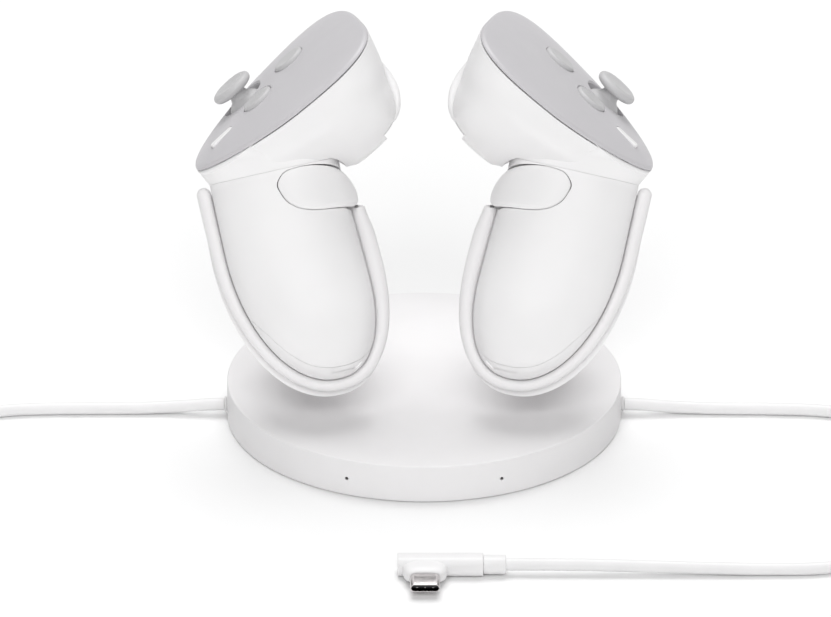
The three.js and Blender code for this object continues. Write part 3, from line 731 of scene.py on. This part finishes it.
def gland(word, side):
    """A short grommet with a rounded lip round the cord where it leaves the wall."""
    profile = [[1.76, -4.0], [1.9, -4.0], [1.9, 0.2], [2.15, 0.35], [2.2, 0.55], [2.1, 0.75], [1.76, 0.8]]
    ring = lathe("gland", profile, 48)
    turned = turned_by("Y", 90.0 * side)
    place = Matrix.Translation((side * DOCK_RADIUS, 0.0, EXIT_HEIGHT)) @ turned
    return finish_piece(ring, f"{word}_grommet", "dock", "cord_white", f"{word}_gland", frame_matrix=place)


power_grommet = gland("power", -1)
headset_grommet = gland("headset", 1)

# ------------------------ the handle's form


def handle_point(angle, z, grow):
    """Points on the handle's surface by angle round it and height, grown outward by an offset."""
    rise = z - TIP_Z + grow
    left_reach = TIP_X - HANDLE_LEFT + grow
    right_reach = HANDLE_RIGHT + grow - TIP_X - 1.4 * ease((z - 18) / 42)
    left = TIP_X - left_reach * opened(rise / (41 + grow), 2.0)
    right = TIP_X + right_reach * opened(rise / (26 + grow), 2.35)
    depth = (HALF_THICKNESS + grow) * opened(rise / (24 + grow), 2.2)
    x = (left + right) / 2 + (right - left) / 2 * power(np.cos(angle), 0.86)
    y = depth * power(np.sin(angle), 0.86)
    return np.stack([x, y, z + np.zeros_like(x)], -1)


def around(count):
    return np.arange(count) * 2 * math.pi / count


def handle_form(grow, top):
    """The handle's solid up to a height, grown by one offset, or by one for each angle round it."""
    foot = TIP_Z - np.max(grow)
    levels = foot + 0.004 + (top - foot - 0.004) * np.linspace(0, 1, HANDLE_LEVELS) ** 2
    return loft("handle_form", [handle_point(around(HANDLE_SIDES), z, grow) for z in levels])


def cup_gap():
    """The cup lies closer to the handle on the inner side than on the outer one."""
    return 0.02 + 0.05 * ease(0.5 - 2 * np.cos(around(HANDLE_SIDES)))


# ------------------------ the head's form

# Each section: centre along, half length, half width, height and cant in degrees.
HEAD_SECTIONS = [
    (10, 7, 7.5, -28.8, 0), (10, 12, 13, -26, 0), (7.6, 17, 17, -21.5, 3), (4.6, 21.6, 20, -16.5, 7),
    (0.8, 28.4, 23.2, -8.6, 14), (FACE_CENTRE, FACE_HALF_LENGTH, FACE_HALF_WIDTH, -0.35, FACE_CANT),
]


def egg_ring(centre, half_length, half_width, z, cant, angles):
    """An egg-shaped section, blunt at the front, tipped about its long axis."""
    rear = np.where(np.sin(angles) > 0, 0.98, 1.2)
    blunt = np.where(np.cos(angles) <= 0, rear, np.where(np.sin(angles) > 0, 0.62, 0.68))
    along = power(np.cos(angles), blunt)
    across = half_width * power(np.sin(angles), blunt) * (1 + EGG * along)
    tilt = math.radians(cant)
    x = centre + half_length * along
    return np.stack([x, across * math.cos(tilt), z + across * math.sin(tilt)], -1)


def even_egg_angles(count):
    """Angles that give the face's outline even steps."""
    dense = np.linspace(0, 2 * math.pi, 24001)
    ring = egg_ring(0, FACE_HALF_LENGTH, FACE_HALF_WIDTH, 0, 0, dense)
    walked = np.concatenate([[0], np.cumsum(np.linalg.norm(np.diff(ring, axis=0), axis=1))])
    return np.interp(np.arange(count) * walked[-1] / count, walked, dense)


HEAD_ANGLES = even_egg_angles(HEAD_SIDES)


def head_form(grow, lift=None):
    rings = [egg_ring(centre, half_length + grow, half_width + grow, z - grow * 0.6, cant, HEAD_ANGLES)
             for centre, half_length, half_width, z, cant in catmull(HEAD_SECTIONS, 60)]
    if lift is not None:
        rings.append(egg_ring(FACE_CENTRE, FACE_HALF_LENGTH + grow, FACE_HALF_WIDTH + grow, lift, FACE_CANT,
                              HEAD_ANGLES))
    first, middle = rings[0], rings[0].mean(0)
    dome = []
    for k in range(1, 9):
        angle = math.pi / 2 * k / 9
        dome.append(middle + (first - middle) * math.cos(angle) + np.array([0, 0, -0.9 * math.sin(angle)]))
    return moved(loft("head_form", dome[::-1] + rings), HEAD_FRAME)


def neck_form(grow, foot, behind_share=1.0):
    """The neck flares from the handle's section up into the head, further on the side behind."""
    flare = [(foot, 0, 0, 0), (64.2, 0.9, 0.3, 1), (66.6, 0.6, 1.7, 1.8),
             (70, -2.6, 6, 1.4), (74, -8, 11, 0)]
    base = handle_point(around(HANDLE_SIDES), np.array(HANDLE_TOP), grow)
    behind = behind_share * (base[:, 0] < TIP_X)
    rings = []
    for z, wider, further_behind, thicker in catmull(flare, 32):
        reach = 1 + (wider + further_behind * behind) / 22
        rings.append(np.stack([TIP_X + (base[:, 0] - TIP_X) * reach,
                               base[:, 1] * (1 + thicker / HALF_THICKNESS), np.full(len(base), z)], -1))
    return loft("neck_form", rings)


def face_height(share):
    return FACE_EDGE + FACE_CROWN * (1 - share ** 3.5)


# ------------------------ handle casing

COVER_OUTLINE = catmull([
    (-26, 38), (-12.6, 15.2), (-7.7, 9.2), (-2.6, 5.4), (4, 3.9), (11, 5), (16.5, 10), (24, 24), (26, 44),
    (24, 55.5), (14, 58.8), (11.2, 63), (4, 72), (-26, 70)], 300, True)
CHARGE_X = (-7.0, 7.0)
CHARGE_Z = (24.0, 34.0)
GRIP_MIDDLE = (-42.0, 54.2)
GRIP_OUTLINE = [(-89.5, 57.4), (-85, 60.2), (-73, 61.2), (-62, 61.1), (-47, 60.4), (-26, 58.9), (-6, 56.8),
                (9, 53.8), (15, 50.8), (8, 48.4), (-12.8, 47.2), (-30, 47.5), (-45, 47.9), (-60, 48.3),
                (-72, 49.1), (-81, 50.6), (-87, 53.2)]


def cover_region(high, raised=0.0):
    return slab("cover_region", COVER_OUTLINE + np.array([0.0, raised]), -30.0, high)


def charge_window(grow):
    return box("window", (CHARGE_X[0] - grow, CHARGE_X[1] + grow), (6.0, 30.0),
               (CHARGE_Z[0] - grow, CHARGE_Z[1] + grow))


def grip_patch(name, spread_of, grow_of, deepest, foot_share=1.0):
    """A solid over part of the handle's side, from polar rings about the grip's middle.

    spread_of pushes the outline outward in millimetres; grow_of gives the skin's height by the distance
    inside the outline, the angle round the handle and the height up it; foot_share draws in its foot.
    """
    millimetres = np.array([18.5 * math.pi / 180, 1.0])
    outline = (catmull(GRIP_OUTLINE, 168, True) - np.array(GRIP_MIDDLE)) * millimetres
    outline += -inward_normals(outline) * spread_of(outline)[:, None]
    reach = np.linalg.norm(outline, axis=1).min()
    rings = []

    def ring(share, grow):
        flat = outline * share
        angle = np.radians(GRIP_MIDDLE[0] + flat[:, 0] / millimetres[0])
        z = GRIP_MIDDLE[1] + flat[:, 1]
        height = grow if np.isscalar(grow) else grow(angle, z)
        return handle_point(angle, z, height)

    edge_shares = 0.8 + 0.2 * np.sin(np.linspace(0.15, 1, 12) * math.pi / 2)
    shares = np.concatenate([np.linspace(0.02, 0.8, 22), edge_shares])
    for share in shares:
        rings.append(ring(share, lambda angle, z, s=share: grow_of((1 - s) * reach, angle, z)))
    for share in (foot_share, 0.8, 0.5, 0.02):
        rings.append(ring(share, deepest))
    return loft(name, rings)


def grip_height(inside, angle, z):
    """Proud of the handle towards its lower edge and on the side, with a rounded edge."""
    side = ease((np.degrees(angle) + 80) / 75)
    low = ease((61.2 - z) / 11)
    proud = 0.35 + (0.25 + 2.3 * side) * low
    round_off = 1 - np.sqrt(np.clip(1 - (1 - np.clip(inside / 1.6, 0, 1)) ** 2, 0, 1))
    return proud - (0.4 + 0.9 * low) * round_off


def handle_wall():
    return cut(handle_form(0.0, HANDLE_TOP), handle_form(-WALL, HANDLE_TOP + 5))


def grip_clearance(outline):
    """A hairline at the top, a little more at the front and below, and the room to turn in behind."""
    across, up = outline[:, 0], outline[:, 1]
    front = ease((-10 - across) / 5)
    below = ease((-3 - up) / 3)
    falling = ease((up - 1) / 2) * ease((across + 10) / 20)
    rising = below * ease((across - 5) / 5)
    behind = ease((across - 13) / 4)
    middle = ease((across - 6) / 5)
    turning = 0.25 * middle + 0.75 * falling + 0.45 * rising + 2.3 * behind
    return 0.1 + 0.04 * np.maximum(front, below) + turning


def grip_hole():
    return grip_patch("grip_hole", grip_clearance, lambda inside, angle, z: 6.0 + 0 * z, -5.0)


def handle_pieces():
    strap_slot = box("strap_slot", (1.6, 10.8), (-12.0, -4.0), (2.4, 4.6))
    cut(strap_slot, handle_form(-0.3, HANDLE_TOP))
    front = cover_region(SPLIT_PLANE + SEAM)
    shell = cut(handle_wall(), front, grip_hole(), charge_window(GAP), strap_slot)
    both_sides(shell, "handle_shell", "controller", "controller_white")
    cover = keep(keep(handle_wall(), cover_region(SPLIT_PLANE - SEAM)), cover_region(0.0, SEAM))
    both_sides(cut(cover, grip_hole()), "battery_cover", "battery_cover", "controller_white")
    button = grip_patch("grip", lambda outline: np.zeros(len(outline)), grip_height, -1.1, 0.85)
    both_sides(button, "grip_button", "grip_button", "controller_white")
    plate = cut(handle_form(-0.2, HANDLE_TOP), handle_form(-1.6, HANDLE_TOP + 5))
    both_sides(keep(plate, charge_window(0.0)), "charge_plate", "controller", "contact_gold")
    profile = [[0, 9.5], [6.4, 9.5], [6.9, 9.7], [7.1, 10.2], [7.1, 57.6], [6.9, 58.2], [6.3, 58.6],
               [2.9, 58.7], [2.7, 58.9], [2.7, 59.8], [2.5, 60], [0, 60]]
    both_sides(lathe("cell", profile, 64, (-1.6, 0.0)), "battery", "controller", "steel")


handle_pieces()

# ------------------------ head pieces


def control_frame(place):
    """The stick and the two round buttons stand a little steeper than the face they come through."""
    surface = Vector((place[0], place[1], FACE_EDGE + FACE_CROWN))
    tilted = turned_by("X", -CONTROL_TILT)
    return FACE_FRAME @ Matrix.Translation(surface) @ tilted @ Matrix.Translation(-surface)


def face_bar(radius, place, flare):
    """A round cutter through the face, flared where it meets the surface."""
    wide = radius + 0.4
    profile = [[0, -2], [radius, -2], [radius, flare], [wide, flare + 0.4], [wide, 12], [0, 12]]
    return moved(lathe("bar", profile, 96, place), control_frame(place))


def pill(name, grow, low, high, rounding=0.0):
    half_length, half_width = MENU_LENGTH / 2 + grow, MENU_WIDTH / 2 + grow
    outline = slot_outline(half_length, half_width, 16)
    bar = slab(name, outline, -high, -low, rounding, 5)
    moved(bar, Matrix.Translation((MENU_BUTTON[0], MENU_BUTTON[1], 0.0)) @ turned_by("X", -90.0))
    return moved(bar, FACE_FRAME)


def trigger_region():
    outline = catmull([(30, -4.2), (36, -12), (34, -26), (22, -33), (15.2, -31), (15.1, -24), (14.6, -12),
                       (18, -4.6)], 120, True)
    reach = TRIGGER_HALF_WIDTH + 0.6
    return moved(slab("trigger_region", outline, -reach, reach), HEAD_FRAME)


def head_shell():
    outside = join(head_form(0.0), neck_form(0.0, HANDLE_TOP + SEAM))
    inside = join(head_form(-WALL, 3.0), neck_form(-WALL, HANDLE_TOP - 3, 0.0))
    above_face = moved(box("above_face", (-60, 60), (-60, 60), (-0.1, 40)), FACE_FRAME)
    cut(outside, inside, above_face, trigger_region(), handle_form(1.7, HANDLE_TOP + SEAM))
    return outside


def face_plate():
    def ring(share, z):
        return egg_ring(FACE_CENTRE, FACE_HALF_LENGTH * share, FACE_HALF_WIDTH * share, z, 0, HEAD_ANGLES)

    lip = 0.8
    rings = [ring(0.99, 0.0), ring(0.998, 0.08)]
    for k in range(8):
        angle = math.pi / 2 * k / 7
        share = 1 - lip / 27 * (1 - math.cos(angle))
        rings.append(ring(share, face_height(share) - lip * (1 - math.sin(angle))))
    for share in np.linspace(0.965, 0.02, 48):
        rings.append(ring(share, face_height(share)))
    plate = moved(loft("face_plate", rings), FACE_FRAME)
    cut(plate, face_bar(WELL_RADIUS, STICK, 2.9))
    for place in (LOWER_BUTTON, UPPER_BUTTON):
        cut(plate, face_bar(BUTTON_RADIUS + 0.16, place, 3.35))
    return cut(plate, pill("menu_hole", 0.1, -2, 12))


def round_button(place):
    top = 4.4
    edge = BUTTON_RADIUS
    profile = [[0, -1.9], [edge + 0.6, -1.9], [edge + 0.7, -1.8], [edge + 0.7, -1.2], [edge + 0.6, -1.1],
               [edge, -1.1], [edge, top - 0.95]]
    for k in range(1, 8):
        angle = math.pi / 2 * k / 7
        profile.append([edge - 0.9 * (1 - math.cos(angle)), top - 0.95 + 0.85 * math.sin(angle)])
    profile += [[3.4, top - 0.14], [2.6, top - 0.22], [1.6, top - 0.29], [0.8, top - 0.32], [0, top - 0.33]]
    return moved(lathe("button", profile, 96, place), control_frame(place))


def thumbstick():
    ball = [[6.3 * math.sin(math.radians(a)), STICK_PIVOT + 6.3 * math.cos(math.radians(a))]
            for a in range(60, 29, -3)]
    stem = catmull([ball[-1], (2.8, 4.45), (2.6, 5.1), (2.8, 5.65), (3.9, 5.92)], 20)
    edge = catmull([(4.9, 6.0), (5.85, 6.45), (6.3, 7.4), (6.0, 8.3), (5.1, 8.82)], 24)
    top = catmull([(4.5, 8.83), (3.4, 8.6), (2.0, 8.42), (0.6, 8.36)], 14)
    profile = [[0, STICK_PIVOT + 0.3], [1.6, STICK_PIVOT + 0.3], [1.6, 1.5], *ball[:-1],
               *stem.tolist(), *edge.tolist(), *top.tolist(), [0, 8.35]]
    return moved(lathe("thumbstick", profile, 96, STICK), control_frame(STICK))


def trigger():
    outline = catmull([(26.7, -5.9), (27.8, -8.8), (28.2, -12.6), (27.9, -17), (26.4, -21.8), (23, -25.8),
                       (19.4, -27.2), (17.6, -26), (18.6, -23.8), (21.6, -21.4), (23.2, -17), (21.2, -12),
                       (20, -8.4), (21.4, -5.9), (24, -5.3)], 160, True)
    lever = moved(slab("trigger", outline, -TRIGGER_HALF_WIDTH, TRIGGER_HALF_WIDTH, 1.1, 6), HEAD_FRAME)
    hole = lathe("pin_hole", [[0, -12], [1.3, -12], [1.3, 12], [0, 12]], 48)
    place = Matrix.Translation((TRIGGER_PIN[0], 0.0, TRIGGER_PIN[1]))
    moved(hole, HEAD_FRAME @ place @ turned_by("X", 90.0))
    return cut(lever, hole)


both_sides(head_shell(), "head_shell", "controller", "controller_white")
both_sides(face_plate(), "face_plate", "controller", "face_grey")
both_sides(trigger(), "trigger", "trigger", "controller_white")
both_sides(thumbstick(), "thumbstick", "thumbstick", "control_grey", angle=60.0)
both_sides(round_button(LOWER_BUTTON), "lower_button", "lower_button", "control_grey")
both_sides(round_button(UPPER_BUTTON), "upper_button", "upper_button", "control_grey")
both_sides(pill("menu_button", 0.0, -1.2, 3.3, 0.3), "menu_button", "menu_button", "controller_white")

# ------------------------ cradles


def rim_path():
    """The handle's side outline from the outer top, round the end, to the inner top, evenly stepped."""
    foot = TIP_Z - RIM_OFFSET
    rises = np.linspace(0, 1, 120) ** 2
    outer = handle_point(np.array(math.pi), foot + (RIM_TOP_LEFT - foot) * rises[::-1], RIM_OFFSET)
    inner = handle_point(np.array(0.0), foot + (RIM_TOP_RIGHT - foot) * rises, RIM_OFFSET)
    path = np.vstack([outer[:-1], inner])[:, [0, 2]]
    walked = np.concatenate([[0], np.cumsum(np.linalg.norm(np.diff(path, axis=0), axis=1))])
    places = np.linspace(0, walked[-1], 150)
    return np.stack([np.interp(places, walked, path[:, 0]), np.interp(places, walked, path[:, 1])], -1)


def rim_swell(x, z):
    """How much further out the rim reaches up its inner side, and a little up its outer side."""
    inner = 1.55 * np.clip((z - 2) / 28, 0, 1) - 0.9 * ease((z - 38) / 9)
    outer = 0.9 * np.clip((z - 10) / 45, 0, 1)
    return np.where(x > TIP_X, inner, outer)


def rim_bead():
    path = rim_path()
    along = np.gradient(path, axis=0)
    along /= np.linalg.norm(along, axis=1)[:, None]
    out = np.stack([along[:, 1], -along[:, 0]], -1)
    swell = rim_swell(path[:, 0], path[:, 1])
    path = path + out * (0.53 * swell)[:, None]
    radius = RIM_RADIUS + 0.47 * swell
    turn = around(28)
    rings = []

    def ring(k, size=1.0, forward=0.0):
        flat = path[k] + along[k] * forward * radius[k]
        reach = radius[k] * size
        return np.stack([flat[0] + reach * np.cos(turn) * out[k][0], reach * np.sin(turn),
                         flat[1] + reach * np.cos(turn) * out[k][1]], -1)

    caps = [math.pi / 2 * k / 8.2 for k in range(1, 9)]
    rings += [ring(0, math.cos(angle), -math.sin(angle)) for angle in caps[::-1]]
    rings += [ring(k) for k in range(len(path))]
    rings += [ring(-1, math.cos(angle), math.sin(angle)) for angle in caps]
    return loft("rim", rings)


def above_cradle(rise):
    """Everything above a slanting line from the outer rim end down to the inner one."""
    slope = math.atan2(RIM_TOP_RIGHT - RIM_TOP_LEFT, HANDLE_RIGHT - HANDLE_LEFT + 2 * RIM_OFFSET)
    place = Matrix.Translation((HANDLE_LEFT - RIM_OFFSET, 0.0, RIM_TOP_LEFT + rise))
    above = box("above", (-40, 80), (-60, 60), (0, 80))
    return moved(above, place @ Matrix.Rotation(-slope, 4, "Y"))


def cradle_cup():
    """The inner scoop with its rounded rim."""
    front = box("front", (-60, 60), (-60, 0), (-60, 90))
    lining = cut(handle_form(CUP_OUTSIDE, 70.0), front, above_cradle(0.0))
    join(lining, rim_bead())
    return cut(lining, handle_form(cup_gap(), CUTTER_TOP), charge_window(1 + GAP), grip_hole())


# Each section across the arm: x, y, half width, half depth and height.
ARM_SECTIONS = [(-29.5, 17, 13, 9.5, 11.35), (-29.5, 16.5, 11.5, 8.2, 13.5), (-30, 15, 10.4, 7.4, 19),
                (-31, 12.5, 10.6, 7.8, 27), (-32, 9, 11.4, 8.8, 36), (-33, 4, 11.4, 8.6, 46)]


def arm_form():
    turn = around(96)
    rings = [np.stack([x + half_width * np.cos(turn), y + half_depth * np.sin(turn), np.full(96, z)], -1)
             for x, y, half_width, half_depth, z in catmull(ARM_SECTIONS, 50)]
    return moved(loft("arm", rings), HANDLE_FRAME.inverted())


def cradle_shell():
    """The outer shell, turned a little about its top, with the arm behind it."""
    lean = Matrix.Translation((0.0, 0.0, 54.4)) @ turned_by("Y", SHELL_LEAN)
    lean = lean @ Matrix.Translation((0.0, 0.0, -55.0))
    outside = join(moved(handle_form(SHELL_OUTSIDE, 70.0), lean), arm_form())
    below_dock = box("below", (-60, 60), (-60, 60), (-90, DOCK_HEIGHT + 0.15))
    moved(below_dock, HANDLE_FRAME.inverted())
    front = box("front", (-60, 60), (-60, 1.9), (-60, 90))
    return cut(outside, front, above_cradle(-1.4), handle_form(SHELL_INSIDE, CUTTER_TOP), below_dock)


def contact_block():
    across, up = (CHARGE_X[0] - 1, CHARGE_X[1] + 1), (CHARGE_Z[0] - 1, CHARGE_Z[1] + 1)
    block = cut(box("block", across, (10.0, 17.6), up), handle_form(0.6, CUTTER_TOP))
    return keep(block, handle_form(CUP_OUTSIDE, CUTTER_TOP))


both_sides(cradle_cup(), "cradle_cup", "dock", "dock_white")
both_sides(cradle_shell(), "cradle_shell", "dock", "dock_white")
both_sides(contact_block(), "contact_block", "dock", "black_plastic")

# ------------------------ dock


def rounded_corner(r, z, radius, start, steps=6):
    """Points round a corner whose circle is centred at r and z, a quarter turn from start degrees."""
    return [[r + radius * math.cos(math.radians(start + 90 * k / steps)),
             z + radius * math.sin(math.radians(start + 90 * k / steps))] for k in range(steps + 1)]


def dock_shell():
    edge, foot, below = 0.38, 0.3, 0.25
    inner = DOCK_RADIUS - WALL
    profile = [[0, DOCK_HEIGHT - WALL], [inner - 0.01, DOCK_HEIGHT - WALL], [inner, below]]
    profile += rounded_corner(DOCK_RADIUS - foot, below + foot, foot, -90)
    profile += rounded_corner(DOCK_RADIUS - edge, DOCK_HEIGHT - edge, edge, 0)
    profile += [[r, DOCK_HEIGHT] for r in (50, 40, 30, 20, 10)] + [[0, DOCK_HEIGHT]]
    shell = lathe("dock", profile, 320)
    hole = lathe("cord_hole", [[0, -70], [2.05, -70], [2.05, 70], [0, 70]], 48)
    cut(shell, moved(hole, Matrix.Translation((0, 0, EXIT_HEIGHT)) @ turned_by("Y", 90.0)))
    for x in (-LIGHT_SPACING, LIGHT_SPACING):
        light = lathe("light_hole", [[0, -10], [LIGHT_RADIUS, -10], [LIGHT_RADIUS, 10], [0, 10]], 32)
        place = Matrix.Translation((x, 4 - DOCK_RADIUS, LIGHT_HEIGHT))
        cut(shell, moved(light, place @ turned_by("X", 90.0)))
    return shell


finish_piece(dock_shell(), "dock_casing", "dock", "dock_white", "base_top_shell")
pad_profile = [[0, 0.02], [44, 0.02], [44.4, 0.25], [45, 0.25], [45.4, 0.02], [PAD_RADIUS - 0.3, 0.02],
               [PAD_RADIUS, 0.3], [PAD_RADIUS, 1], [0, 1]]
finish_piece(lathe("pad", pad_profile, 240), "foot_pad", "dock", "pad_rubber", "base_foot_pad")

record_slots = {row["node"]: row["material_slot"] for row in frame["record"]["subparts"]}
for node, obj in frame["nodes"].items():
    if not obj.hide_render:
        obj.data.materials.clear()
        obj.data.materials.append(MATERIALS[record_slots[node]])
        obj.data.shade_smooth()
        obj.data.set_sharp_from_angle(angle=math.radians(30))

# ------------------------ floor, light

FLOOR_CORNERS = ((-40, -40), (40, -40), (40, 40), (-40, 40))
floor_mesh = bpy.data.meshes.new("floor")
floor_mesh.from_pydata([(x, y, 0) for x, y in FLOOR_CORNERS], [], [(0, 1, 2, 3)])
floor = bpy.data.objects.new("floor", floor_mesh)
scene.collection.objects.link(floor)
floor_nodes = Nodes("floor")
floor_nodes.shader.inputs["Base Color"].default_value = (0.93, 0.93, 0.93, 1.0)
floor_nodes.shader.inputs["Roughness"].default_value = 0.9
floor_nodes.shader.inputs["Specular IOR Level"].default_value = 0.0
floor_mesh.materials.append(floor_nodes.material)


def soft_sun(name, towards, spread, strength):
    """A very wide, far lamp, from where its light comes, its width in degrees and its strength."""
    data = bpy.data.lights.new(name, "SUN")
    data.angle = math.radians(spread)
    data.energy = strength
    lamp = bpy.data.objects.new(name, data)
    scene.collection.objects.link(lamp)
    lamp.location = towards
    lamp.rotation_euler = Vector(towards).to_track_quat("Z", "Y").to_euler()


soft_sun("overhead", (0.0, 0.45, 1.0), 48.0, 2.1)
soft_sun("front", (0.0, -0.95, 0.8), 48.0, 1.55)

world = bpy.data.worlds.new("studio")
world.use_nodes = True
world.node_tree.nodes["Background"].inputs["Color"].default_value = (1.0, 1.0, 1.0, 1.0)
world.node_tree.nodes["Background"].inputs["Strength"].default_value = 0.2
scene.world = world
scene.view_settings.view_transform = "Standard"
